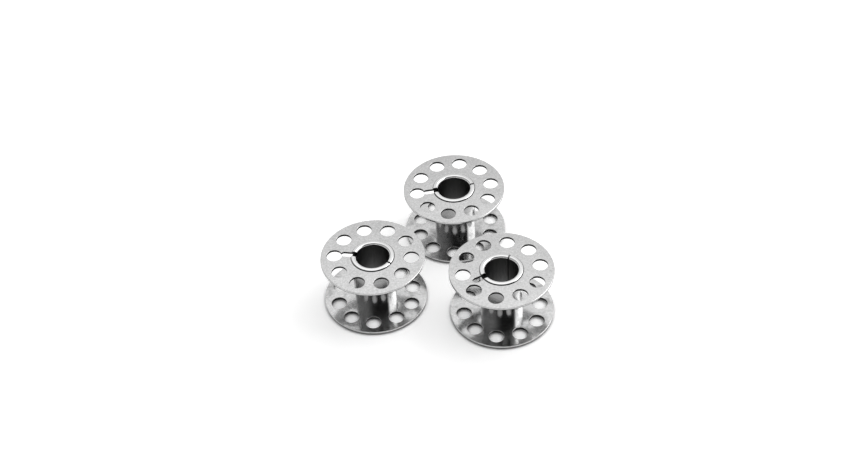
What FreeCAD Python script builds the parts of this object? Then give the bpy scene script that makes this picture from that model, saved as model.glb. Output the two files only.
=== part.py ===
import FreeCAD
import Part
import Sketcher
import os

# A set of three metal sewing bobbins that stand on a table, in millimetres.
# Each bobbin is two stamped flanges, a spacer sleeve that holds them apart, and a rivet tube rolled
# from strip, whose ends are turned over the flanges as lips. +Z is up along the bores, -Y is the front,
# and the origin is on the table, at the middle of the set's bounding box.

SIZES = (
    ("flange_diameter", 20.3, "outside diameter of a flange"),
    ("flange_thickness", 0.5, "sheet that a flange is stamped from"),
    ("flange_gap", 10.2, "winding space between the two flanges"),
    ("rim_rounding", 0.1, "rounding of a flange's rim"),
    ("hole_diameter", 3.0, "sight hole"),
    ("hole_count", 10, "sight holes in a flange"),
    ("rim_margin", 1.15, "metal between a sight hole and the rim"),
    ("slit_width", 1.25, "thread slit, and the notch in the lip in line with it"),
    ("slit_length", 2.72, "thread slit, out from the flange's centre hole"),
    ("bore_diameter", 6.4, "bore that the spindle passes through"),
    ("tube_wall", 0.3, "strip that the rivet tube is rolled from"),
    ("mouth_rounding", 0.45, "rounding of the bore's mouths"),
    ("lip_overhang", 0.7, "how far a lip reaches over its flange"),
    ("lip_height", 0.25, "how far a lip stands out of its flange"),
    ("lip_rounding", 0.1, "rounding of a lip's outer edge"),
    ("sleeve_wall", 0.57, "wall of the spacer sleeve"),
    ("fit_clearance", 0.03, "radial room for the rivet tube in the sleeve and the flanges"),
    ("seam_gap", 0.3, "open seam along the rivet tube"),
    ("back_rim_gap", 4.32, "between the rims of the left and back bobbins"),
    ("back_bearing", 47.2, "direction from the left bobbin to the back one, in degrees"),
    ("right_rim_gap", 4.89, "between the rims of the left and right bobbins"),
    ("right_bearing", -13.1, "direction from the left bobbin to the right one, in degrees"),
    ("left_upper_holes", 137.8, "bearing of a sight hole, in degrees"),
    ("left_lower_holes", 193.1, "bearing of a sight hole, in degrees"),
    ("left_upper_slit", 169.0, "bearing of the thread slit, in degrees"),
    ("left_lower_slit", 80.3, "bearing of the thread slit, in degrees"),
    ("left_seam", 325.0, "bearing of the seam, in degrees"),
    ("back_upper_holes", 150.4, "bearing of a sight hole, in degrees"),
    ("back_lower_holes", 193.2, "bearing of a sight hole, in degrees"),
    ("back_upper_slit", 187.0, "bearing of the thread slit, in degrees"),
    ("back_lower_slit", 85.8, "bearing of the thread slit, in degrees"),
    ("back_seam", 10.5, "bearing of the seam, in degrees"),
    ("right_upper_holes", 185.6, "bearing of a sight hole, in degrees"),
    ("right_lower_holes", 185.4, "bearing of a sight hole, in degrees"),
    ("right_upper_slit", 205.5, "bearing of the thread slit, in degrees"),
    ("right_lower_slit", 97.3, "bearing of the thread slit, in degrees"),
    ("right_seam", 62.0, "bearing of the seam, in degrees"),
)

# Sizes worked out from the ones above, as expressions on the sheet.
BORE_RADIUS = "(sizes.bore_diameter / 2)"
TUBE_RADIUS = f"({BORE_RADIUS} + sizes.tube_wall)"
SEAT_RADIUS = f"({TUBE_RADIUS} + sizes.fit_clearance)"
SLEEVE_RADIUS = f"({SEAT_RADIUS} + sizes.sleeve_wall)"
LIP_RADIUS = f"({TUBE_RADIUS} + sizes.lip_overhang)"
HOLE_CIRCLE_RADIUS = "(sizes.flange_diameter / 2 - sizes.rim_margin - sizes.hole_diameter / 2)"
LOWER_SEAT = "sizes.lip_height"
SLEEVE_FOOT = "(sizes.lip_height + sizes.flange_thickness)"
UPPER_SEAT = f"({SLEEVE_FOOT} + sizes.flange_gap)"
UPPER_LIP = f"({UPPER_SEAT} + sizes.flange_thickness)"
HEIGHT = f"({UPPER_LIP} + sizes.lip_height)"

# A rounding is held under this share of the sheet or lip that it runs along.
WALL_SHARE = 0.45
RIM_ROUNDING = f"min(sizes.rim_rounding; {WALL_SHARE} * sizes.flange_thickness)"
MOUTH_ROUNDING = f"min(sizes.mouth_rounding; {WALL_SHARE} * (sizes.tube_wall + sizes.lip_overhang))"
LIP_ROUNDING = f"min(sizes.lip_rounding; 2 * {WALL_SHARE} * sizes.lip_height)"

# Where the bobbins stand: the left one is the start, and the set is centred on the origin.
BACK_SPAN = "(sizes.flange_diameter + sizes.back_rim_gap)"
RIGHT_SPAN = "(sizes.flange_diameter + sizes.right_rim_gap)"
BACK_X = f"{BACK_SPAN} * cos(sizes.back_bearing)"
BACK_Y = f"{BACK_SPAN} * sin(sizes.back_bearing)"
RIGHT_X = f"{RIGHT_SPAN} * cos(sizes.right_bearing)"
RIGHT_Y = f"{RIGHT_SPAN} * sin(sizes.right_bearing)"
MIDDLE_X = f"({RIGHT_X}) / 2"
MIDDLE_Y = f"({BACK_Y} + {RIGHT_Y}) / 2"
PLACES = {
    "left": (f"-{MIDDLE_X}", f"-{MIDDLE_Y}"),
    "back": (f"{BACK_X} - {MIDDLE_X}", f"{BACK_Y} - {MIDDLE_Y}"),
    "right": (f"{RIGHT_X} - {MIDDLE_X}", f"{RIGHT_Y} - {MIDDLE_Y}"),
}

# How a sketch's constraints name its origin, its axes and the points of a curve.
ORIGIN = (-1, 1)
AXIS = {"x": -1, "y": -2}
POINT = {"start": 1, "end": 2, "centre": 3}
UP = FreeCAD.Vector(0, 0, 1)

doc = FreeCAD.newDocument("bobbin_set")
sheet = doc.addObject("Spreadsheet::Sheet", "sizes")
for row, (alias, number, meaning) in enumerate(SIZES, start=1):
    sheet.set(f"A{row}", alias)
    sheet.set(f"B{row}", str(number))
    sheet.set(f"C{row}", meaning)
    sheet.setAlias(f"B{row}", alias)
doc.recompute()


def value(expression):
    """The number that an expression on the sheet gives."""
    return float(sheet.evalExpression(expression))


def origin_feature(body, role):
    """A plane or an axis of a body's own origin."""
    return next(feature for feature in body.Origin.OriginFeatures if feature.Role == role)


def new_body(label, place, foot, bearing):
    """A body on its bobbin's axis, with its foot at a height, turned to a bearing."""
    body = doc.addObject("PartDesign::Body", label)
    body.Label = label
    body.Placement = FreeCAD.Placement(FreeCAD.Vector(), FreeCAD.Rotation(UP, 1))
    for path, expression in zip("xyz", (*place, foot)):
        body.setExpression(f"Placement.Base.{path}", expression)
    body.setExpression("Placement.Rotation.Angle", bearing)
    return body


def new_sketch(body, name, plane="XY_Plane", height=None, turn=None):
    """A sketch on one of the body's origin planes, raised or turned about the bobbin's axis."""
    sketch = body.newObject("Sketcher::SketchObject", name)
    sketch.AttachmentSupport = [(origin_feature(body, plane), "")]
    sketch.MapMode = "FlatFace"
    if height:
        sketch.setExpression("AttachmentOffset.Base.z", height)
    if turn:
        sketch.AttachmentOffset = FreeCAD.Placement(FreeCAD.Vector(), FreeCAD.Rotation(UP, 1))
        sketch.setExpression("AttachmentOffset.Rotation.Angle", turn)
    return sketch


def bind(sketch, kind, where, expression):
    """A dimension of a sketch, bound to the sheet."""
    index = sketch.addConstraint(Sketcher.Constraint(kind, *where, value(expression)))
    sketch.setExpression(f"Constraints[{index}]", expression)


def draw_circle(sketch, radius, x="0"):
    """A circle whose centre is on the sketch's X axis."""
    circle = Part.Circle(FreeCAD.Vector(value(x), 0, 0), UP, value(radius))
    index = sketch.addGeometry(circle)
    bind(sketch, "Radius", (index,), radius)
    if x == "0":
        sketch.addConstraint(Sketcher.Constraint("Coincident", index, POINT["centre"], *ORIGIN))
    else:
        sketch.addConstraint(Sketcher.Constraint("PointOnObject", index, POINT["centre"], AXIS["x"]))
        bind(sketch, "DistanceX", (*ORIGIN, index, POINT["centre"]), x)


def draw_outline(sketch, corners):
    """A closed outline of straight lines, with each corner's place bound to the sheet."""
    points = [FreeCAD.Vector(value(x), value(y), 0) for x, y in corners]
    for index, point in enumerate(points):
        sketch.addGeometry(Part.LineSegment(point, points[(index + 1) % len(points)]))
    for index, (x, y) in enumerate(corners):
        previous = (index - 1) % len(corners)
        sketch.addConstraint(Sketcher.Constraint("Coincident", previous, POINT["end"], index, POINT["start"]))
        for kind, axis, expression in (("DistanceX", AXIS["y"], x), ("DistanceY", AXIS["x"], y)):
            if expression == "0":
                sketch.addConstraint(Sketcher.Constraint("PointOnObject", index, POINT["start"], axis))
            else:
                bind(sketch, kind, (*ORIGIN, index, POINT["start"]), expression)


def draw_slit(sketch, width, reach):
    """A slit along the sketch's X axis, from the bobbin's axis to a round end."""
    half = value(width) / 2
    end_centre = value(reach) - half
    corner = FreeCAD.Vector(0, half, 0)
    shoulder = FreeCAD.Vector(end_centre, half, 0)
    tip = FreeCAD.Vector(end_centre + half, 0, 0)
    lower_corner = FreeCAD.Vector(0, -half, 0)
    lower_shoulder = FreeCAD.Vector(end_centre, -half, 0)
    near = sketch.addGeometry(Part.LineSegment(lower_corner, lower_shoulder))
    nose = sketch.addGeometry(Part.Arc(lower_shoulder, tip, shoulder))
    far = sketch.addGeometry(Part.LineSegment(shoulder, corner))
    foot = sketch.addGeometry(Part.LineSegment(corner, lower_corner))
    sketch.addConstraint([
        Sketcher.Constraint("Tangent", near, POINT["end"], nose, POINT["start"]),
        Sketcher.Constraint("Tangent", nose, POINT["end"], far, POINT["start"]),
        Sketcher.Constraint("Coincident", far, POINT["end"], foot, POINT["start"]),
        Sketcher.Constraint("Coincident", foot, POINT["end"], near, POINT["start"]),
        Sketcher.Constraint("Horizontal", near),
        Sketcher.Constraint("Horizontal", far),
        Sketcher.Constraint("PointOnObject", foot, POINT["start"], AXIS["y"]),
        Sketcher.Constraint("PointOnObject", foot, POINT["end"], AXIS["y"]),
        Sketcher.Constraint("PointOnObject", nose, POINT["centre"], AXIS["x"]),
    ])
    bind(sketch, "Radius", (nose,), f"{width} / 2")
    bind(sketch, "DistanceX", (*ORIGIN, nose, POINT["centre"]), f"{reach} - {width} / 2")


def pad(body, name, sketch, length):
    """A solid raised from a sketch."""
    feature = body.newObject("PartDesign::Pad", name)
    feature.Profile = sketch
    feature.setExpression("Length", length)
    doc.recompute()
    return feature


def cut_up(body, name, sketch, depth=None):
    """A cut from a sketch upwards, to a depth or right through."""
    feature = body.newObject("PartDesign::Pocket", name)
    feature.Profile = sketch
    feature.Reversed = True
    feature.Type = "Length" if depth else "ThroughAll"
    if depth:
        feature.setExpression("Length", depth)
    doc.recompute()
    return feature


def round_edges(body, name, radius, heights, rounding):
    """Rounds the circular edges that have a radius and lie at one of some heights in the body."""
    base = body.Tip
    wanted = []
    same = FreeCAD.Base.Precision.confusion()
    for index, edge in enumerate(base.Shape.Edges, start=1):
        circle = edge.Curve
        if not isinstance(circle, Part.Circle) or abs(circle.Radius - value(radius)) > same:
            continue
        if any(abs(circle.Center.z - value(height)) < same for height in heights):
            wanted.append(f"Edge{index}")
    feature = body.newObject("PartDesign::Fillet", name)
    feature.Base = (base, wanted)
    feature.setExpression("Radius", rounding)
    doc.recompute()


def make_flange(side, level, seat):
    """A stamped disc with a centre hole, a ring of sight holes and a thread slit along its own +X."""
    label = f"{side}_{level}_flange"
    body = new_body(label, PLACES[side], seat, f"sizes.{side}_{level}_slit")
    disc = new_sketch(body, f"{label}_disc")
    draw_circle(disc, "sizes.flange_diameter / 2")
    draw_circle(disc, SEAT_RADIUS)
    pad(body, f"{label}_sheet", disc, "sizes.flange_thickness")
    faces = ("0", "sizes.flange_thickness")
    round_edges(body, f"{label}_rim", "sizes.flange_diameter / 2", faces, RIM_ROUNDING)
    slit = new_sketch(body, f"{label}_slit_outline")
    draw_slit(slit, "sizes.slit_width", f"({SEAT_RADIUS} + sizes.slit_length)")
    cut_up(body, f"{label}_slit", slit)
    turn = f"sizes.{side}_{level}_holes - sizes.{side}_{level}_slit"
    hole = new_sketch(body, f"{label}_hole_outline", turn=turn)
    draw_circle(hole, "sizes.hole_diameter / 2", HOLE_CIRCLE_RADIUS)
    first_hole = cut_up(body, f"{label}_first_hole", hole)
    holes = body.newObject("PartDesign::PolarPattern", f"{label}_holes")
    holes.Originals = [first_hole]
    holes.Axis = (origin_feature(body, "Z_Axis"), [""])
    holes.Angle = 360
    holes.setExpression("Occurrences", "sizes.hole_count")
    body.Tip = holes
    return body


def make_sleeve(side):
    """The plain tube that the thread is wound on, clamped between the flanges."""
    label = f"{side}_spacer_sleeve"
    body = new_body(label, PLACES[side], SLEEVE_FOOT, f"sizes.{side}_seam")
    ring = new_sketch(body, f"{label}_ring")
    draw_circle(ring, SLEEVE_RADIUS)
    draw_circle(ring, SEAT_RADIUS)
    pad(body, f"{label}_wall", ring, "sizes.flange_gap")
    return body


def make_rivet_tube(side):
    """The rolled tube whose lips hold the flanges, with a seam along its own +X and two slit notches."""
    label = f"{side}_rivet_tube"
    body = new_body(label, PLACES[side], "0", f"sizes.{side}_seam")
    section = new_sketch(body, f"{label}_section", plane="XZ_Plane")
    draw_outline(section, (
        (BORE_RADIUS, "0"),
        (LIP_RADIUS, "0"),
        (LIP_RADIUS, LOWER_SEAT),
        (TUBE_RADIUS, LOWER_SEAT),
        (TUBE_RADIUS, UPPER_LIP),
        (LIP_RADIUS, UPPER_LIP),
        (LIP_RADIUS, HEIGHT),
        (BORE_RADIUS, HEIGHT),
    ))
    wall = body.newObject("PartDesign::Revolution", f"{label}_wall")
    wall.Profile = section
    wall.ReferenceAxis = (section, ["V_Axis"])
    wall.Angle = 360
    doc.recompute()
    ends = ("0", HEIGHT)
    round_edges(body, f"{label}_mouths", BORE_RADIUS, ends, MOUTH_ROUNDING)
    round_edges(body, f"{label}_lips", LIP_RADIUS, ends, LIP_ROUNDING)
    outside = f"({LIP_RADIUS} + sizes.lip_height)"
    seam = new_sketch(body, f"{label}_seam_outline")
    draw_slit(seam, "sizes.seam_gap", outside)
    cut_up(body, f"{label}_seam", seam)
    for level, height in (("lower", None), ("upper", UPPER_SEAT)):
        turn = f"sizes.{side}_{level}_slit - sizes.{side}_seam"
        notch = new_sketch(body, f"{label}_{level}_notch_outline", height=height, turn=turn)
        draw_slit(notch, "sizes.slit_width", f"({outside} + sizes.slit_width)")
        cut_up(body, f"{label}_{level}_notch", notch, SLEEVE_FOOT)
    return body


def check(bodies):
    """Stops unless every object has recomputed, every cut takes metal away and every body is one solid."""
    for item in doc.Objects:
        if "Invalid" in item.State or "Error" in item.State:
            raise RuntimeError(f"{item.Label} did not recompute: {item.State}")
        if item.TypeId == "PartDesign::Pocket" and item.Shape.Volume >= item.BaseFeature.Shape.Volume:
            raise RuntimeError(f"{item.Label} cuts nothing")
    for body in bodies:
        shape = body.Shape
        if shape.isNull() or not shape.isValid() or len(shape.Solids) != 1:
            raise RuntimeError(f"{body.Label} is not one valid solid")


pieces = []
for bobbin in PLACES:
    pieces.append(make_flange(bobbin, "lower", LOWER_SEAT))
    pieces.append(make_flange(bobbin, "upper", UPPER_SEAT))
    pieces.append(make_sleeve(bobbin))
    pieces.append(make_rivet_tube(bobbin))
doc.recompute()
check(pieces)

os.makedirs("parts", exist_ok=True)
for piece in pieces:
    piece.Shape.exportStep(os.path.join("parts", f"{piece.Label}.step"))
    print(f"{piece.Label}: {piece.Shape.Volume:.2f} mm3")
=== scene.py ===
"""Looks of a set of three nickel-plated sewing bobbins that stand on a white table.

Each bobbin is two perforated flanges, a spacer sleeve and a rivet tube with rolled lips. Every piece is made
at the place of its node in the frame and finished in plated steel. The meshes are built in millimetres and
brought to metres once they are whole.
"""

import math

import bmesh
import bpy
from bpy.props import FloatProperty, FloatVectorProperty, IntProperty, PointerProperty
from mathutils import Matrix, Vector


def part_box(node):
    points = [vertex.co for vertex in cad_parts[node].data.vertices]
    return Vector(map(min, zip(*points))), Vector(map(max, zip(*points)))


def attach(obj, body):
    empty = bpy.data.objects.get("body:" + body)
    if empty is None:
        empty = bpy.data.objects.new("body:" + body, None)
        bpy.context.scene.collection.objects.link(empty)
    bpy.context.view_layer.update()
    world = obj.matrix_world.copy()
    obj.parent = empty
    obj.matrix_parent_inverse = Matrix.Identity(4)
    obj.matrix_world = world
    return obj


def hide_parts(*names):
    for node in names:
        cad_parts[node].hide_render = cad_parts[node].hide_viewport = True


bl_info = {
    "name": "Sewing bobbin set",
    "version": (1, 0, 0),
    "blender": (4, 5, 0),
    "location": "3D View > Sidebar > Bobbins",
    "description": "Builds three plated sewing bobbins and the white table that they stand on",
    "category": "Object",
}

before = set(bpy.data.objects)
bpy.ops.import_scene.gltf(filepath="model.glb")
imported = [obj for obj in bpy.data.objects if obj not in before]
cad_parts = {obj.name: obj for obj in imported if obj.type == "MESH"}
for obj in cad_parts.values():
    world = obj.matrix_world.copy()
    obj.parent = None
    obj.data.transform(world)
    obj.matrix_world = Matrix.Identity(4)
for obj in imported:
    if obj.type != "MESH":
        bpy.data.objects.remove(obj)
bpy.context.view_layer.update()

# The meshes are made in millimetres, and the scene is in metres.
MM = 0.001
MICRON = 0.000001
BOBBINS = ("left", "back", "right")
LEVELS = ("lower", "upper")


def extent(node):
    """The size of a node's box along X, Y and Z, in metres."""
    low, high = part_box(node)
    return high - low


def middle(node):
    """The middle of a node's box."""
    low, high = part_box(node)
    return (low + high) / 2


FLANGE = extent("left_upper_flange")
SLEEVE = extent("left_spacer_sleeve")


class BobbinSizes(bpy.types.PropertyGroup):
    """Sizes that the three bobbins share."""

    flange_diameter: FloatProperty(
        name="Flange", description="Outside diameter of a flange", default=FLANGE.y, unit="LENGTH")
    flange_thickness: FloatProperty(
        name="Flange sheet", description="Thickness of a flange", default=FLANGE.z, unit="LENGTH")
    rim_rounding: FloatProperty(
        name="Rim rounding", description="Rounding of a flange's rim", default=0.0001, unit="LENGTH")
    punch_rounding: FloatProperty(
        name="Punch rounding", description="Rounding where a punch entered the sheet", default=0.00006,
        unit="LENGTH")
    hole_diameter: FloatProperty(
        name="Sight hole", description="Diameter of a sight hole", default=0.003, unit="LENGTH")
    hole_count: IntProperty(
        name="Sight holes", description="Number of sight holes in a flange", default=10)
    rim_margin: FloatProperty(
        name="Rim margin", description="Metal between a sight hole and the rim", default=0.00115,
        unit="LENGTH")
    seat_radius: FloatProperty(
        name="Seat", description="Radius of a flange's centre hole", default=0.00353, unit="LENGTH")
    slit_width: FloatProperty(
        name="Slit width", description="Width of the thread slit", default=0.00125, unit="LENGTH")
    slit_length: FloatProperty(
        name="Slit length", description="Length of the slit beyond the centre hole", default=0.00272,
        unit="LENGTH")
    bore_radius: FloatProperty(
        name="Bore", description="Radius of the bore", default=0.0032, unit="LENGTH")
    tube_radius: FloatProperty(
        name="Rivet tube", description="Radius of the rivet tube between its lips", default=0.0035,
        unit="LENGTH")
    lip_diameter: FloatProperty(
        name="Lip", description="Outside diameter of a rolled lip", default=0.0084, unit="LENGTH")
    lip_height: FloatProperty(
        name="Lip height", description="How far a lip stands out of its flange", default=0.00025,
        unit="LENGTH")
    mouth_rounding: FloatProperty(
        name="Mouth rounding", description="Rounding of the bore's mouths", default=0.00045, unit="LENGTH")
    lip_rounding: FloatProperty(
        name="Lip rounding", description="Rounding of a lip's outer edge", default=0.0002, unit="LENGTH")
    lip_fall: FloatProperty(
        name="Lip fall", description="How far a lip slopes down to its outer edge", default=0.00003,
        unit="LENGTH")
    seam_gap: FloatProperty(
        name="Seam", description="Width of the open seam", default=0.0003, unit="LENGTH")
    sleeve_diameter: FloatProperty(
        name="Sleeve", description="Outside diameter of the spacer sleeve", default=SLEEVE.x, unit="LENGTH")


def bearing(name, description, degrees):
    """An angle about a bobbin's axis, counted from +X."""
    return FloatProperty(name=name, description=description, default=math.radians(degrees), subtype="ANGLE")


class BobbinTurns(bpy.types.PropertyGroup):
    """How the pieces of each bobbin are turned about its axis."""

    left_upper_holes: bearing("Left upper holes", "Bearing of a sight hole", 137.8)
    left_lower_holes: bearing("Left lower holes", "Bearing of a sight hole", 193.1)
    left_upper_slit: bearing("Left upper slit", "Bearing of the thread slit", 169.0)
    left_lower_slit: bearing("Left lower slit", "Bearing of the thread slit", 80.3)
    left_seam: bearing("Left seam", "Bearing of the rivet tube's seam", 325.0)
    back_upper_holes: bearing("Back upper holes", "Bearing of a sight hole", 150.4)
    back_lower_holes: bearing("Back lower holes", "Bearing of a sight hole", 193.2)
    back_upper_slit: bearing("Back upper slit", "Bearing of the thread slit", 187.0)
    back_lower_slit: bearing("Back lower slit", "Bearing of the thread slit", 85.8)
    back_seam: bearing("Back seam", "Bearing of the rivet tube's seam", 10.5)
    right_upper_holes: bearing("Right upper holes", "Bearing of a sight hole", 185.6)
    right_lower_holes: bearing("Right lower holes", "Bearing of a sight hole", 185.4)
    right_upper_slit: bearing("Right upper slit", "Bearing of the thread slit", 205.5)
    right_lower_slit: bearing("Right lower slit", "Bearing of the thread slit", 97.3)
    right_seam: bearing("Right seam", "Bearing of the rivet tube's seam", 62.0)


class BobbinFinish(bpy.types.PropertyGroup):
    """Colours and gloss of the plated steel."""

    flange_grey: FloatProperty(
        name="Flange grey", description="Reflected share of light on a flange", default=0.66,
        subtype="FACTOR")
    flange_roughness: FloatProperty(
        name="Flange roughness", description="Blur of a flange's reflections", default=0.13,
        subtype="FACTOR")
    # Painted shade: an upper flange's underside is given this darker grey.
    underside_grey: FloatProperty(
        name="Underside grey", description="Reflected share of light under an upper flange", default=0.3,
        subtype="FACTOR")
    sleeve_grey: FloatProperty(
        name="Sleeve grey", description="Reflected share of light on the sleeve", default=0.36,
        subtype="FACTOR")
    sleeve_roughness: FloatProperty(
        name="Sleeve roughness", description="Blur of the sleeve's reflections", default=0.13,
        subtype="FACTOR")
    lip_grey: FloatProperty(
        name="Lip grey", description="Reflected share of light on a lip", default=0.86, subtype="FACTOR")
    # Partly painted shade: the bore is darker both for its thin plating and for the shade inside it.
    bore_grey: FloatProperty(
        name="Bore grey", description="Reflected share of light inside the bore", default=0.22,
        subtype="FACTOR")
    # Partly painted shade: sheared edges are near black both for bare steel and for the shade on hole walls
    # and under the lips.
    edge_grey: FloatProperty(
        name="Edge grey", description="Reflected share of light on a sheared edge", default=0.015,
        subtype="FACTOR")


class BobbinStage(bpy.types.PropertyGroup):
    """The camera, the table and the light around it."""

    aim: FloatVectorProperty(
        name="Aim", description="Point on the table at the middle of the picture",
        default=(-0.001795, 0.01363, 0.0), subtype="TRANSLATION")
    distance: FloatProperty(
        name="Distance", description="From the camera to the point it aims at", default=0.3285, unit="LENGTH")
    elevation: FloatProperty(
        name="Elevation", description="Height of the camera above the table", default=math.radians(43.74),
        subtype="ANGLE")
    roll: FloatProperty(
        name="Roll", description="Turn of the picture about the line of sight", default=math.radians(-3.43),
        subtype="ANGLE")
    focal_length: FloatProperty(
        name="Focal length", description="Focal length in millimetres on a 36 mm wide sensor", default=67.09)
    table_white: FloatProperty(
        name="Table white", description="Reflected share of light on the table", default=0.9,
        subtype="FACTOR")
    table_lift: FloatProperty(
        name="Table lift", description="Glow that brings the open table to white in the picture",
        default=0.43)
    shade_reach: FloatProperty(
        name="Shade reach", description="How far the bobbins hold the table's glow back", default=0.0018,
        unit="LENGTH")


class Value:
    """A socket of a node tree, on which arithmetic adds Math nodes."""

    def __init__(self, graph, socket):
        self.graph = graph
        self.socket = socket

    def math(self, operation, *others):
        """A Math node on this value and others."""
        return self.graph.math(operation, self, *others)

    def __add__(self, other):
        return self.math("ADD", other)

    def __sub__(self, other):
        return self.math("SUBTRACT", other)

    def __mul__(self, other):
        return self.math("MULTIPLY", other)

    def __truediv__(self, other):
        return self.math("DIVIDE", other)

    def __rsub__(self, other):
        return self.graph.math("SUBTRACT", other, self)

    def __rtruediv__(self, other):
        return self.graph.math("DIVIDE", other, self)

    __radd__ = __add__
    __rmul__ = __mul__

    def clamp(self):
        """The value held between 0 and 1."""
        return self.graph.node("ShaderNodeClamp", None, {"Value": self})

    def smooth(self, low, high):
        """0 below low, 1 above high, and a smooth step between."""
        return self.graph.node("ShaderNodeMapRange", {"interpolation_type": "SMOOTHSTEP"}, {
            "Value": self, "From Min": low, "From Max": high})


class Graph:
    """A node tree that is written by calls."""

    def __init__(self, tree):
        self.tree = tree
        tree.nodes.clear()

    def node(self, kind, settings=None, inputs=None, output=0):
        """Adds a node, sets it up, feeds its sockets and gives one of its outputs."""
        made = self.tree.nodes.new(kind)
        for name, setting in (settings or {}).items():
            if name == "stops":
                self.set_stops(made.color_ramp, setting)
            else:
                setattr(made, name, setting)
        for key, value in (inputs or {}).items():
            for item in value if isinstance(value, list) else [value]:
                self.feed(made.inputs[key], item)
        return Value(self, made.outputs[output]) if len(made.outputs) else made

    def math(self, operation, *operands):
        """A Math node on values and numbers."""
        return self.node("ShaderNodeMath", {"operation": operation}, dict(enumerate(operands)))

    def parts(self, vector):
        """The X, Y and Z of a vector."""
        split = self.node("ShaderNodeSeparateXYZ", None, {"Vector": vector}).socket.node
        return [Value(self, output) for output in split.outputs]

    def feed(self, socket, value):
        """Links a socket, or sets its own value."""
        if isinstance(value, Value):
            self.tree.links.new(value.socket, socket)
        else:
            socket.default_value = value

    @staticmethod
    def set_stops(ramp, stops):
        """Gives a ramp its grey stops, as pairs of place and level."""
        while len(ramp.elements) < len(stops):
            ramp.elements.new(1.0)
        for element, (place, level) in zip(ramp.elements, stops):
            element.position = place
            element.color = (level, level, level, 1.0)


# Materials

# Every piece keeps the places on it as counted from its bobbin's foot, in millimetres, under this name.
FROM_FOOT = "from_foot"
# A flange is bowed outwards a little: its fall in millimetres for each square millimetre out from the axis.
CROWN = 0.0011
# Painted shade darkens the crease between a lip and its flange, so far out from the lip in millimetres.
CREASE_SHADE_WIDTH = 0.14
# The lower share of a rim is dark, with a soft border of so much of the sheet on either side; the rim is so
# deep in millimetres. The dark is partly the rough zone where the sheet tore off the die and partly painted
# shade at the rim's foot, heavier on a lower flange, which stands by the table.
DARK_RIM_SHARE = 0.4
DARK_RIM_BORDER = 0.1
RIM_DEPTH = 0.05


def surface_coordinates(graph, scale=(1.0, 1.0, 1.0)):
    """Places on a piece in millimetres, stretched by a scale along each axis."""
    place = graph.node("ShaderNodeTexCoord", output="Object")
    return graph.node("ShaderNodeMapping", None, {
        "Vector": place, "Scale": tuple(factor / MM for factor in scale)})


def noise(graph, place, scale=1.0, detail=2.0, roughness=0.5):
    """Soft noise from 0 to 1, with so many features in a millimetre."""
    return graph.node("ShaderNodeTexNoise", None, {
        "Vector": place, "Scale": scale, "Detail": detail, "Roughness": roughness})


def grey(graph, level):
    """A colour of three equal levels."""
    return graph.node("ShaderNodeCombineColor", None, {"Red": level, "Green": level, "Blue": level})


def bump(graph, height, strength, depth, normal=None):
    """A normal turned by a height; depth is in metres."""
    inputs = {"Height": height, "Strength": strength, "Distance": depth}
    if normal:
        inputs["Normal"] = normal
    return graph.node("ShaderNodeBump", None, inputs)


def scratches(graph, place, scale, width):
    """Thin stray scratches: 1 on a scratch and 0 off it."""
    wander = graph.node("ShaderNodeTexNoise", {"normalize": True}, {
        "Vector": place, "Scale": scale, "Detail": 1.0, "Distortion": 0.6})
    ridge = (wander - 0.5).math("ABSOLUTE")
    return 1.0 - ridge.smooth(0.0, width)


def new_material(name):
    """An empty material and its graph."""
    material = bpy.data.materials.new(name)
    material.use_nodes = True
    return material, Graph(material.node_tree)


def bobbin_place(graph):
    """Distance from the bobbin's own axis and height above its foot, in millimetres."""
    place = graph.node("ShaderNodeAttribute", {"attribute_name": FROM_FOOT}, None, "Vector")
    flat = graph.node("ShaderNodeVectorMath", {"operation": "MULTIPLY"}, {0: place, 1: (1.0, 1.0, 0.0)})
    across = graph.node("ShaderNodeVectorMath", {"operation": "LENGTH"}, {0: flat}, "Value")
    return across, graph.parts(place)[2]


# Reflections on a turned piece are drawn out along its axis, a quarter turn from the lines on it.
QUARTER_TURN = 0.25
# How much the sleeve draws them out, from 0 to 1.
SLEEVE_DRAW = 0.9


def finish_metal(graph, level, roughness, normal, draw=0.0):
    """Ends a material in plated metal, whose reflections may be drawn out across its lines."""
    shader = graph.node("ShaderNodeBsdfPrincipled", None, {
        "Base Color": grey(graph, level), "Roughness": roughness, "Metallic": 1.0, "Normal": normal,
        "Anisotropic": draw, "Anisotropic Rotation": QUARTER_TURN})
    graph.node("ShaderNodeOutputMaterial", None, {"Surface": shader})


def sheet_sides(height):
    """1 on an upper flange, the share of the way up through the sheet, and 1 on a flange's outer face."""
    lower_foot, upper_foot = (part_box(f"left_{level}_flange")[0].z / MM for level in LEVELS)
    sheet = FLANGE.z / MM
    upper = height.smooth(lower_foot + sheet, upper_foot)
    through = (height - (lower_foot + (upper_foot - lower_foot) * upper)) / sheet
    outer = 1.0 - upper + (2.0 * upper - 1.0) * through.clamp()
    return upper, through, outer


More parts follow.
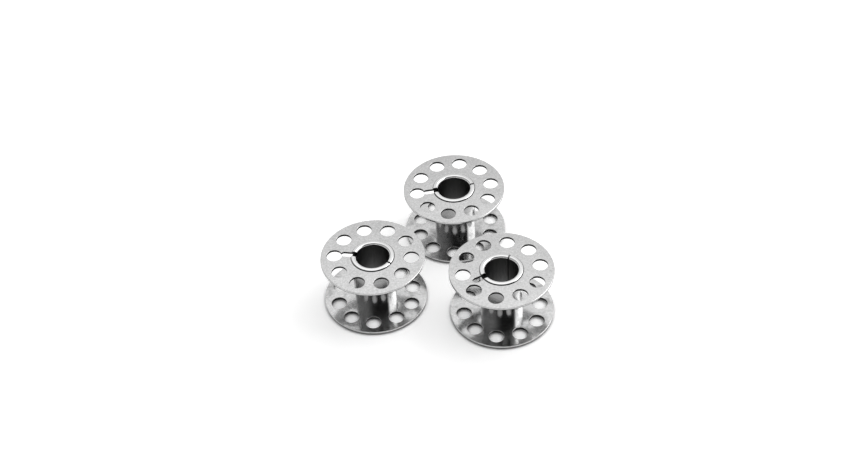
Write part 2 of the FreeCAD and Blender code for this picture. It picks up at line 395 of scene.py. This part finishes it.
def plated_sheet(graph, finish):
    """Plated sheet: mottle, grain, clouds, specks and stains, with painted shade beside the lip and under an
    upper flange, and a rim darker at its foot, partly from tearing and partly as painted shade.
    """
    place = surface_coordinates(graph)
    mottle = noise(graph, place, scale=2.2, detail=3.0, roughness=0.6) - 0.5
    grain = noise(graph, place, scale=6.0, roughness=0.6) - 0.5
    clouds = noise(graph, place, scale=0.35) - 0.5
    scratch = scratches(graph, place, scale=0.28, width=0.004)
    specks = noise(graph, place, scale=1.3, detail=1.0).smooth(0.72, 0.80)
    across, height = bobbin_place(graph)
    upper, through, outer = sheet_sides(height)
    # Painted shade: the underside of an upper flange is made darker and rougher.
    shaded_underside = (1.0 - outer) * upper
    lip_radius = bpy.context.scene.bobbin_sizes.lip_diameter / 2 / MM
    # Painted shade: a dark ring on the flange's outer face just outside the lip.
    crease = outer * (1.0 - across.smooth(lip_radius + CREASE_SHADE_WIDTH / 2, lip_radius + CREASE_SHADE_WIDTH))
    rim_radius = FLANGE.y / 2 / MM
    rim = across.smooth(rim_radius - RIM_DEPTH, rim_radius - RIM_DEPTH / 2)
    # Partly painted shade: the foot of the rim is darkened, more on a lower flange than on an upper one.
    torn_and_shaded = rim * (1.0 - through.smooth(DARK_RIM_SHARE - DARK_RIM_BORDER, DARK_RIM_SHARE + DARK_RIM_BORDER))
    stain = (1.0 - outer) * noise(graph, place, scale=0.45, detail=3.0, roughness=0.6).smooth(0.45, 0.7)
    level = 1.0 + 0.5 * mottle + 0.4 * grain + 0.2 * clouds - 0.05 * scratch - 0.12 * specks
    level = level * (finish.flange_grey + (finish.underside_grey - finish.flange_grey) * shaded_underside)
    level = level * (1.0 - 0.6 * crease) * (1.0 - (0.85 - 0.4 * upper) * torn_and_shaded) * (1.0 - 0.3 * stain)
    roughness = finish.flange_roughness + 0.12 * mottle + 0.08 * clouds + 0.10 * specks + 0.1 * shaded_underside
    crown = bump(graph, -CROWN * outer * across * across, strength=1.0, depth=MM)
    unevenness = noise(graph, place, scale=0.22, detail=1.0)
    waves = bump(graph, unevenness, strength=0.5, depth=10 * MICRON, normal=crown)
    normal = bump(graph, mottle, strength=0.35, depth=6 * MICRON, normal=waves)
    finish_metal(graph, level, roughness, normal)


def sheared_edge(graph, finish):
    """The wall that a punch or a cut leaves: bare and matt, streaked across the sheet, and near black as
    painted shade on the walls of holes and slits and on the outer edges of the lips.
    """
    streaks = noise(graph, surface_coordinates(graph, (7.0, 7.0, 0.6)))
    level = finish.edge_grey * (0.6 + 0.8 * streaks)
    normal = bump(graph, streaks, strength=0.3, depth=10 * MICRON)
    finish_metal(graph, level, 0.3 + 0.2 * streaks, normal)


def turned_sleeve(graph, finish):
    """Turned tube: bright, with fine lines round it that draw reflections out along the axis."""
    place = surface_coordinates(graph)
    lines = noise(graph, surface_coordinates(graph, (0.25, 0.25, 9.0)), detail=3.0) - 0.5
    clouds = noise(graph, place, scale=0.5) - 0.5
    scratch = scratches(graph, place, scale=0.35, width=0.006)
    level = finish.sleeve_grey * (1.0 + 0.8 * lines + 0.3 * clouds - 0.2 * scratch)
    roughness = finish.sleeve_roughness + 0.1 * lines + 0.05 * clouds
    normal = bump(graph, lines, strength=0.25, depth=4 * MICRON)
    finish_metal(graph, level, roughness, normal, SLEEVE_DRAW)


def burnished_lip(graph, finish):
    """The rolled end of the rivet tube, burnished bright by the tool that turned it over."""
    place = surface_coordinates(graph)
    grain = noise(graph, place, scale=2.5)
    level = finish.lip_grey * (0.94 + 0.10 * grain)
    normal = bump(graph, grain, strength=0.3, depth=10 * MICRON)
    finish_metal(graph, level, 0.06 + 0.05 * grain, normal)


def dull_bore(graph, finish):
    """The inside of the rivet tube, which the plating hardly reaches, made darker still as painted shade
    inside the bore.
    """
    lines = noise(graph, surface_coordinates(graph, (4.0, 4.0, 0.2)))
    level = finish.bore_grey * (0.8 + 0.4 * lines)
    normal = bump(graph, lines, strength=0.3, depth=10 * MICRON)
    finish_metal(graph, level, 0.28 + 0.12 * lines, normal)


def finished(maker):
    """The material that a function above fills in, under the function's name, made when first asked for."""
    material = bpy.data.materials.get(maker.__name__)
    if material is None:
        material, graph = new_material(maker.__name__)
        maker(graph, bpy.context.scene.bobbin_finish)
    return material


# Meshes

def discard(source):
    """Removes an object and its mesh."""
    mesh = source.data
    bpy.data.objects.remove(source)
    bpy.data.meshes.remove(mesh)


def plain_mesh(name, source, place):
    """The evaluated mesh of a source object, in metres and in its place. The source is removed."""
    graph = bpy.context.evaluated_depsgraph_get()
    mesh = bpy.data.meshes.new_from_object(
        source.evaluated_get(graph), preserve_all_data_layers=True, depsgraph=graph)
    discard(source)
    mesh.name = name
    for index in reversed(range(len(mesh.materials))):
        if mesh.materials[index] is None:
            mesh.materials.pop(index=index)
    from_foot = mesh.attributes.new(FROM_FOOT, "FLOAT_VECTOR", "POINT")
    rise = Vector((0.0, 0.0, place.z / MM))
    for item, vertex in zip(from_foot.data, mesh.vertices):
        item.vector = vertex.co + rise
    mesh.transform(Matrix.Translation(place) @ Matrix.Scale(MM, 4))
    return mesh


def add_piece(name, mesh, node):
    """A finished piece that stands for a node and moves with the node's bobbin."""
    piece = bpy.data.objects.new(name, mesh)
    bpy.context.scene.collection.objects.link(piece)
    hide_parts(node)
    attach(piece, f"{node.split('_')[0]}_bobbin")
    return piece


def keep_flats_flat(source):
    """Shades a source object by its large faces, so that its flat faces look flat."""
    normals = source.modifiers.new("normals", "WEIGHTED_NORMAL")
    normals.keep_sharp = True
    normals.weight = 100


FLANGE_INPUTS = (
    ("Rim Radius", "NodeSocketFloat"),
    ("Thickness", "NodeSocketFloat"),
    ("Seat Radius", "NodeSocketFloat"),
    ("Hole Radius", "NodeSocketFloat"),
    ("Hole Circle", "NodeSocketFloat"),
    ("Hole Count", "NodeSocketInt"),
    ("Hole Bearing", "NodeSocketFloat"),
    ("Slit Width", "NodeSocketFloat"),
    ("Slit Reach", "NodeSocketFloat"),
    ("Slit Bearing", "NodeSocketFloat"),
    ("Rim Rounding", "NodeSocketFloat"),
    ("Punch Rounding", "NodeSocketFloat"),
    ("Sheet Material", "NodeSocketMaterial"),
    ("Edge Material", "NodeSocketMaterial"),
)
RIM_STEPS = 288
SEAT_STEPS = 120
HOLE_STEPS = 72
SLIT_STEPS = 40
ARC_STEPS = 5
# A punch leaves its rounding at this slope, so that it crosses the sheet's face cleanly.
PUNCH_SLOPE = math.radians(70)
PUNCH_RUN = 0.4
SHARP_ANGLE = math.radians(35)
# A face of a flange is a punched wall if its normal rises less than this, and if it lies no further out than
# this many of a sight hole's radii beyond the ring of their middles.
WALL_SLOPE = 0.35
WALL_REACH = 1.1


def plated_stamping(graph, stamped, size):
    """A stamped flange with sharp folds, its sheet plated and the walls of its holes and slit bare, near
    black as painted shade.
    """
    smooth = graph.node("GeometryNodeSetShadeSmooth", None, {"Geometry": stamped})
    fold = graph.node("GeometryNodeInputMeshEdgeAngle", output="Unsigned Angle")
    creased = graph.node("GeometryNodeSetShadeSmooth", {"domain": "EDGE"}, {
        "Geometry": smooth, "Selection": fold.math("GREATER_THAN", SHARP_ANGLE), "Shade Smooth": False})
    whole = graph.node("GeometryNodeRealizeInstances", None, {"Geometry": creased})
    plated = graph.node("GeometryNodeSetMaterial", None, {
        "Geometry": whole, "Material": size["Sheet Material"]})
    rise = graph.parts(graph.node("GeometryNodeInputNormal"))[2]
    wall = rise.math("ABSOLUTE").math("LESS_THAN", WALL_SLOPE)
    across = graph.node("ShaderNodeVectorMath", {"operation": "LENGTH"}, {
        0: graph.node("GeometryNodeInputPosition")}, "Value")
    inside = across.math("LESS_THAN", size["Hole Circle"] + WALL_REACH * size["Hole Radius"])
    # Painted shade: the walls of holes and slits take the near-black edge material.
    return graph.node("GeometryNodeSetMaterial", None, {
        "Geometry": plated, "Selection": wall * inside, "Material": size["Edge Material"]})


def flange_tree():
    """Geometry nodes that stamp a flange: a disc less its centre hole, its ring of holes and its slit."""
    tree = bpy.data.node_groups.new("Perforated flange", "GeometryNodeTree")
    for name, kind in FLANGE_INPUTS:
        tree.interface.new_socket(name, in_out="INPUT", socket_type=kind)
    tree.interface.new_socket("Geometry", in_out="OUTPUT", socket_type="NodeSocketGeometry")
    graph = Graph(tree)
    given = graph.node("NodeGroupInput").socket.node.outputs
    size = {name: Value(graph, given[name]) for name, _ in FLANGE_INPUTS}
    half = size["Thickness"] / 2.0

    def turned(steps, radius, rounding, sense, slope, run):
        """A turned solid whose ends are rounded inwards (sense -1) or flared outwards (sense 1)."""
        rings = ARC_STEPS + (2 if run else 1)
        blank = graph.node("GeometryNodeMeshCylinder", None, {
            "Vertices": steps, "Side Segments": 2 * rings, "Radius": 1.0, "Depth": 2.0})
        x, y, z = graph.parts(graph.node("GeometryNodeInputPosition"))
        ring = z.math("ABSOLUTE") * rings
        angle = ((ring - 1.0) / ARC_STEPS).clamp() * slope
        beyond = (ring - (rings - 1.0)).clamp() * run
        height = ring.math("MINIMUM", 1.0) * (half - rounding)
        height = height + rounding * angle.math("SINE") + beyond * math.cos(slope)
        reach = rounding * (1.0 - angle.math("COSINE")) + beyond * math.sin(slope)
        across = radius + sense * reach
        shaped = graph.node("ShaderNodeCombineXYZ", None, {
            "X": x * across, "Y": y * across, "Z": z.math("SIGN") * height})
        return graph.node("GeometryNodeSetPosition", None, {"Geometry": blank, "Position": shaped})

    def punch(steps, radius):
        """A punch that flares where it leaves the sheet."""
        return turned(steps, radius, size["Punch Rounding"], 1.0, PUNCH_SLOPE, PUNCH_RUN)

    def moved(geometry, turn):
        """Geometry turned about the flange's axis."""
        return graph.node("GeometryNodeTransform", None, {
            "Geometry": geometry, "Rotation": graph.node("ShaderNodeCombineXYZ", None, {"Z": turn})})

    disc = turned(RIM_STEPS, size["Rim Radius"], size["Rim Rounding"], -1.0, math.pi / 2, 0.0)
    ring = graph.node("GeometryNodeMeshCircle", None, {
        "Vertices": size["Hole Count"], "Radius": size["Hole Circle"]})
    hole_punches = graph.node("GeometryNodeInstanceOnPoints", None, {
        "Points": moved(ring, size["Hole Bearing"]), "Instance": punch(HOLE_STEPS, size["Hole Radius"])})
    slit_half = size["Slit Width"] / 2.0
    side = graph.parts(graph.node("GeometryNodeInputPosition"))[0]
    stretch = side.math("GREATER_THAN", 0.0) * (size["Slit Reach"] - slit_half)
    slit = graph.node("GeometryNodeSetPosition", None, {
        "Geometry": punch(SLIT_STEPS, slit_half),
        "Offset": graph.node("ShaderNodeCombineXYZ", None, {"X": stretch})})
    stamped = graph.node("GeometryNodeMeshBoolean", {"operation": "DIFFERENCE", "solver": "MANIFOLD"}, {
        "Mesh 1": disc,
        "Mesh 2": [
            punch(SEAT_STEPS, size["Seat Radius"]),
            graph.node("GeometryNodeRealizeInstances", None, {"Geometry": hole_punches}),
            moved(slit, size["Slit Bearing"])]})
    graph.node("NodeGroupOutput", None, {"Geometry": plated_stamping(graph, stamped, size)})
    return tree


def nodes_source(name, tree, values):
    """An object whose mesh a geometry node tree makes from named values."""
    source = bpy.data.objects.new(name, bpy.data.meshes.new(name))
    modifier = source.modifiers.new("nodes", "NODES")
    modifier.node_group = tree
    for item in tree.interface.items_tree:
        if item.item_type == "SOCKET" and item.in_out == "INPUT":
            modifier[item.identifier] = values[item.name]
    bpy.context.scene.collection.objects.link(source)
    return source


def arc(centre, radius, start, end, steps):
    """Points on an arc in a lathe's section, with angles in degrees."""
    points = []
    for step in range(steps + 1):
        angle = math.radians(start + (end - start) * step / steps)
        points.append((centre[0] + radius * math.cos(angle), centre[1] + radius * math.sin(angle)))
    return points


# A face stands upright where its normal rises less than this.
UPRIGHT = 0.75
SLEEVE_STEPS = 160
SLEEVE_SHARP = math.radians(30)
TUBE_STEPS = 180
TUBE_SHARP = math.radians(32)
EDGE_STEPS = 8
MOUTH_STEPS = 10
# A face of a rivet tube is on a wall's radius within this share of the mouths' rounding.
WALL_PLAY = 0.05


def lathe(name, outline, start, sweep, steps):
    """An object turned from a closed section of (radius, height) points through a whole turn or less."""
    shape = bmesh.new()
    whole = math.isclose(sweep, math.tau)
    rings = []
    for step in range(steps if whole else steps + 1):
        angle = start + sweep * step / steps
        rings.append([
            shape.verts.new((radius * math.cos(angle), radius * math.sin(angle), height))
            for radius, height in outline])
    for index in range(steps):
        here = rings[index]
        there = rings[(index + 1) % len(rings)]
        for corner in range(len(outline)):
            after = (corner + 1) % len(outline)
            shape.faces.new((here[corner], there[corner], there[after], here[after]))
    if not whole:
        shape.faces.new(rings[0])
        shape.faces.new(rings[-1])
    bmesh.ops.recalc_face_normals(shape, faces=shape.faces)
    for face in shape.faces:
        face.smooth = True
    mesh = bpy.data.meshes.new(name)
    shape.to_mesh(mesh)
    shape.free()
    source = bpy.data.objects.new(name, mesh)
    bpy.context.scene.collection.objects.link(source)
    return source


class BOBBIN_OT_flanges(bpy.types.Operator):
    """Stamp the six flanges"""

    bl_idname = "bobbin.flanges"
    bl_label = "Flanges"

    def execute(self, context):
        sizes = context.scene.bobbin_sizes
        turns = context.scene.bobbin_turns
        tree = flange_tree()
        rim_radius = sizes.flange_diameter / 2
        hole_radius = sizes.hole_diameter / 2
        shared = {
            "Rim Radius": rim_radius / MM,
            "Thickness": sizes.flange_thickness / MM,
            "Seat Radius": sizes.seat_radius / MM,
            "Hole Radius": hole_radius / MM,
            "Hole Circle": (rim_radius - sizes.rim_margin - hole_radius) / MM,
            "Hole Count": sizes.hole_count,
            "Slit Width": sizes.slit_width / MM,
            "Slit Reach": (sizes.seat_radius + sizes.slit_length) / MM,
            "Rim Rounding": sizes.rim_rounding / MM,
            "Punch Rounding": sizes.punch_rounding / MM,
            "Sheet Material": finished(plated_sheet),
            "Edge Material": finished(sheared_edge),
        }
        for side in BOBBINS:
            axis = middle(f"{side}_spacer_sleeve")
            for level in LEVELS:
                node = f"{side}_{level}_flange"
                values = dict(shared)
                values["Hole Bearing"] = getattr(turns, f"{side}_{level}_holes")
                values["Slit Bearing"] = getattr(turns, f"{side}_{level}_slit")
                source = nodes_source(f"{node}_source", tree, values)
                keep_flats_flat(source)
                place = Vector((axis.x, axis.y, middle(node).z))
                mesh = plain_mesh(f"{node}_sheet", source, place)
                add_piece(f"{node}_sheet", mesh, node)
        return {"FINISHED"}


class BOBBIN_OT_sleeves(bpy.types.Operator):
    """Turn the three spacer sleeves"""

    bl_idname = "bobbin.sleeves"
    bl_label = "Spacer sleeves"

    def execute(self, context):
        sizes = context.scene.bobbin_sizes
        outer = sizes.sleeve_diameter / 2 / MM
        inner = sizes.seat_radius / MM
        for side in BOBBINS:
            node = f"{side}_spacer_sleeve"
            half = extent(node).z / 2 / MM
            outline = [(inner, -half), (outer, -half), (outer, half), (inner, half)]
            source = lathe(f"{node}_source", outline, 0.0, math.tau, SLEEVE_STEPS)
            source.data.materials.append(finished(turned_sleeve))
            source.data.materials.append(finished(dull_bore))
            for face in source.data.polygons:
                if face.center.xy.length < (inner + outer) / 2 and abs(face.normal.z) < UPRIGHT:
                    face.material_index = 1
            source.data.set_sharp_from_angle(angle=SLEEVE_SHARP)
            mesh = plain_mesh(f"{node}_wall", source, middle(node))
            add_piece(f"{node}_wall", mesh, node)
        return {"FINISHED"}


class BOBBIN_OT_rivet_tubes(bpy.types.Operator):
    """Roll the three rivet tubes, with their lips, seams and notches"""

    bl_idname = "bobbin.rivet_tubes"
    bl_label = "Rivet tubes"

    def execute(self, context):
        sizes = context.scene.bobbin_sizes
        turns = context.scene.bobbin_turns
        for side in BOBBINS:
            node = f"{side}_rivet_tube"
            axis = middle(f"{side}_spacer_sleeve")
            outline = self.section(sizes, extent(node).z / MM)
            gap = sizes.seam_gap / sizes.bore_radius
            seam = getattr(turns, f"{side}_seam")
            source = lathe(f"{node}_source", outline, seam + gap / 2, math.tau - gap, TUBE_STEPS)
            for maker in (burnished_lip, dull_bore, sheared_edge):
                source.data.materials.append(finished(maker))
            ends = zip(LEVELS, (0.0, extent(node).z / MM))
            punches = [
                self.add_notch(source, sizes, end, getattr(turns, f"{side}_{level}_slit"))
                for level, end in ends]
            mesh = plain_mesh(f"{node}_wall", source, Vector((axis.x, axis.y, 0.0)))
            for punch in punches:
                discard(punch)
            mesh.set_sharp_from_angle(angle=TUBE_SHARP)
            self.finish_walls(mesh, axis, sizes)
            add_piece(f"{node}_wall", mesh, node)
        return {"FINISHED"}

    @staticmethod
    def section(sizes, height):
        """The closed section of a rivet tube, from its lower mouth round its outside to its upper mouth."""
        bore = sizes.bore_radius / MM
        tube = sizes.tube_radius / MM
        lip = sizes.lip_diameter / 2 / MM
        rise = sizes.lip_height / MM
        mouth = sizes.mouth_rounding / MM
        edge = sizes.lip_rounding / MM
        fall = sizes.lip_fall / MM
        upper = arc((lip - edge, height - fall - edge), edge, 0, 90, EDGE_STEPS)
        upper += arc((bore + mouth, height - mouth), mouth, 90, 180, MOUTH_STEPS)
        lower = [(radius, height - z) for radius, z in reversed(upper)]
        return lower + [(lip, rise), (tube, rise), (tube, height - rise), (lip, height - rise)] + upper

    @staticmethod
    def add_notch(source, sizes, end, slit):
        """Cuts an end of a rivet tube in line with its flange's slit, and gives the punch that cuts it."""
        depth = (sizes.lip_height + sizes.flange_thickness) / MM
        reach = sizes.lip_diameter / MM
        shape = bmesh.new()
        bmesh.ops.create_cube(shape, size=1.0)
        size = Matrix.Diagonal((reach, sizes.slit_width / MM, 2 * depth, 1.0))
        away = Matrix.Translation((reach / 2, 0.0, end))
        shape.transform(Matrix.Rotation(slit, 4, "Z") @ away @ size)
        mesh = bpy.data.meshes.new("notch_punch")
        mesh.materials.append(finished(sheared_edge))
        shape.to_mesh(mesh)
        shape.free()
        punch = bpy.data.objects.new("notch_punch", mesh)
        bpy.context.scene.collection.objects.link(punch)
        cut = source.modifiers.new("notch", "BOOLEAN")
        cut.operation = "DIFFERENCE"
        cut.solver = "MANIFOLD"
        cut.object = punch
        return punch

    @staticmethod
    def finish_walls(mesh, axis, sizes):
        """Gives the wall of the bore its own material, darkened as painted shade, and the raw outer edges of
        the lips the near-black edge material, as painted shade in the gap under each lip.
        """
        slots = {material.name: index for index, material in enumerate(mesh.materials)}
        play = WALL_PLAY * sizes.mouth_rounding
        bore = sizes.bore_radius + play
        tube = sizes.tube_radius + play
        for face in mesh.polygons:
            out = (face.center - axis).xy
            sideways = abs(face.normal.xy.dot(out.normalized())) < UPRIGHT
            if abs(face.normal.z) > UPRIGHT:
                continue
            if sideways or out.length > tube:
                face.material_index = slots["sheared_edge"]
            elif out.length < bore:
                face.material_index = slots["dull_bore"]


# Stage

TABLE_HALF = 1.5
SENSOR_WIDTH = 36.0
NEAREST_SIGHT = 0.01
# Light around the table. A row has a bearing in degrees, counted from the camera's side towards the right of
# the picture, the level there in a band at the camera's own height, and the level above and below that band.
RING = (
    (-100.0, 0.34, 0.5), (-60.0, 0.31, 0.4), (-35.0, 0.16, 0.3), (-20.0, 0.05, 0.2), (-5.0, 0.01, 0.2),
    (67.0, 0.01, 0.2), (81.0, 3.6, 1.1), (140.0, 3.6, 1.1), (152.0, 0.92, 0.92), (205.0, 0.92, 0.92),
    (225.0, 0.38, 0.55), (260.0, 0.34, 0.5))
RING_START = RING[0][0]
RING_PEAK = max(level for row in RING for level in row[1:])
# The band's two borders, each between two heights in degrees.
BAND_FOOT = (33, 37)
BAND_TOP = (56, 61)
# The ring grows brighter upwards between two heights, from one share of its level to another.
CLIMB = (33, 58)
RING_FOOT = 0.74
RING_TOP = 1.28
# Below the ring and overhead the light has one level each; what shows below the ring is white.
LOW_END = (10, 21)
LOW_LEVEL = 0.5
ZENITH_START = (66, 78)
ZENITH_LEVEL = 1.25


def seen_directly(graph):
    """1 for rays that come from the camera, off metal or through glass, and 0 for the rest."""
    shown = graph.node("ShaderNodeLightPath", output="Is Camera Ray")
    for kind in ("Is Glossy Ray", "Is Transmission Ray"):
        shown = shown.math("MAXIMUM", graph.node("ShaderNodeLightPath", output=kind))
    return shown


def studio_world():
    """Light right, behind and above, a dark room on the camera's side, and white above the table's edge."""
    world = bpy.data.worlds.new("studio")
    world.use_nodes = True
    graph = Graph(world.node_tree)
    x, y, z = graph.parts(graph.node("ShaderNodeTexCoord", output="Generated"))
    turn = x.math("ARCTAN2", -1.0 * y) / math.tau - RING_START / 360.0
    round_table = turn.math("FLOORED_MODULO", 1.0)

    def ring(column):
        """The light around the table from one column of its levels."""
        stops = [((row[0] - RING_START) / 360.0, row[column] / RING_PEAK) for row in RING]
        return RING_PEAK * graph.node("ShaderNodeValToRGB", {"stops": stops}, {"Fac": round_table})

    def above(low, high):
        """0 below one height in degrees and 1 above another."""
        return z.smooth(math.sin(math.radians(low)), math.sin(math.radians(high)))

    band = above(*BAND_FOOT) * (1.0 - above(*BAND_TOP))
    beside = ring(2)
    level = beside + band * (ring(1) - beside)
    level = level * (RING_FOOT + (RING_TOP - RING_FOOT) * above(*CLIMB))
    low = LOW_LEVEL + (1.0 - LOW_LEVEL) * seen_directly(graph)
    level = low + above(*LOW_END) * (level - low)
    level = level + above(*ZENITH_START) * (ZENITH_LEVEL - level)
    light = graph.node("ShaderNodeBackground", None, {"Color": grey(graph, level), "Strength": 1.0})
    graph.node("ShaderNodeOutputWorld", None, {"Surface": light})
    return world


# The table's glow goes from none to full between these shares of open sky near it.
SHADE_RANGE = (0.35, 0.9)


def table_material(stage):
    """White table that keeps the bobbins' shadows."""
    material, graph = new_material("white_table")
    diffuse = graph.node("ShaderNodeBsdfDiffuse", None, {"Color": (*[stage.table_white] * 3, 1.0)})
    open_share = graph.node("ShaderNodeAmbientOcclusion", None, {"Distance": stage.shade_reach}, "AO")
    lift = stage.table_lift * open_share.smooth(*SHADE_RANGE) * seen_directly(graph)
    glow = graph.node("ShaderNodeEmission", None, {"Color": grey(graph, lift), "Strength": 1.0})
    both = graph.node("ShaderNodeAddShader", None, {0: diffuse, 1: glow})
    graph.node("ShaderNodeOutputMaterial", None, {"Surface": both})
    return material


class BOBBIN_OT_stage(bpy.types.Operator):
    """Lay the table, light it and set up the camera"""

    bl_idname = "bobbin.stage"
    bl_label = "Stage"

    def execute(self, context):
        stage = context.scene.bobbin_stage
        context.scene.view_settings.view_transform = "Standard"
        context.scene.world = studio_world()
        self.add_table(stage)
        self.add_camera(stage)
        return {"FINISHED"}

    @staticmethod
    def add_table(stage):
        """A flat table under the bobbins."""
        mesh = bpy.data.meshes.new("table")
        corners = [(x * TABLE_HALF, y * TABLE_HALF, 0.0) for x, y in ((-1, -1), (1, -1), (1, 1), (-1, 1))]
        mesh.from_pydata(corners, [], [(0, 1, 2, 3)])
        mesh.materials.append(table_material(stage))
        table = bpy.data.objects.new("table", mesh)
        bpy.context.scene.collection.objects.link(table)

    @staticmethod
    def add_camera(stage):
        """A camera that looks down on the bobbins from the front."""
        sight = Vector((0.0, math.cos(stage.elevation), -math.sin(stage.elevation)))
        level_right = Vector((1.0, 0.0, 0.0))
        level_up = level_right.cross(sight)
        right = math.cos(stage.roll) * level_right + math.sin(stage.roll) * level_up
        up = right.cross(sight)
        spot = Vector(stage.aim) - stage.distance * sight
        data = bpy.data.cameras.new("camera")
        data.sensor_width = SENSOR_WIDTH
        data.lens = stage.focal_length
        data.clip_start = NEAREST_SIGHT
        camera = bpy.data.objects.new("camera", data)
        camera.matrix_world = Matrix((right, up, -sight)).transposed().to_4x4()
        camera.location = spot
        bpy.context.scene.collection.objects.link(camera)
        bpy.context.scene.camera = camera


class BOBBIN_PT_panel(bpy.types.Panel):
    """The steps that build the bobbins"""

    bl_idname = "BOBBIN_PT_panel"
    bl_label = "Bobbins"
    bl_space_type = "VIEW_3D"
    bl_region_type = "UI"
    bl_category = "Bobbins"

    def draw(self, context):
        for operator in OPERATORS:
            self.layout.operator(operator.bl_idname)


GROUPS = {
    "bobbin_sizes": BobbinSizes,
    "bobbin_turns": BobbinTurns,
    "bobbin_finish": BobbinFinish,
    "bobbin_stage": BobbinStage,
}
OPERATORS = (BOBBIN_OT_flanges, BOBBIN_OT_sleeves, BOBBIN_OT_rivet_tubes, BOBBIN_OT_stage)
CLASSES = (*GROUPS.values(), *OPERATORS, BOBBIN_PT_panel)


def register():
    for item in CLASSES:
        bpy.utils.register_class(item)
    for name, group in GROUPS.items():
        setattr(bpy.types.Scene, name, PointerProperty(type=group))


def unregister():
    for name in GROUPS:
        delattr(bpy.types.Scene, name)
    for item in reversed(CLASSES):
        bpy.utils.unregister_class(item)


def main():
    register()
    bpy.ops.bobbin.flanges()
    bpy.ops.bobbin.sleeves()
    bpy.ops.bobbin.rivet_tubes()
    bpy.ops.bobbin.stage()


if __name__ == "__main__":
    main()
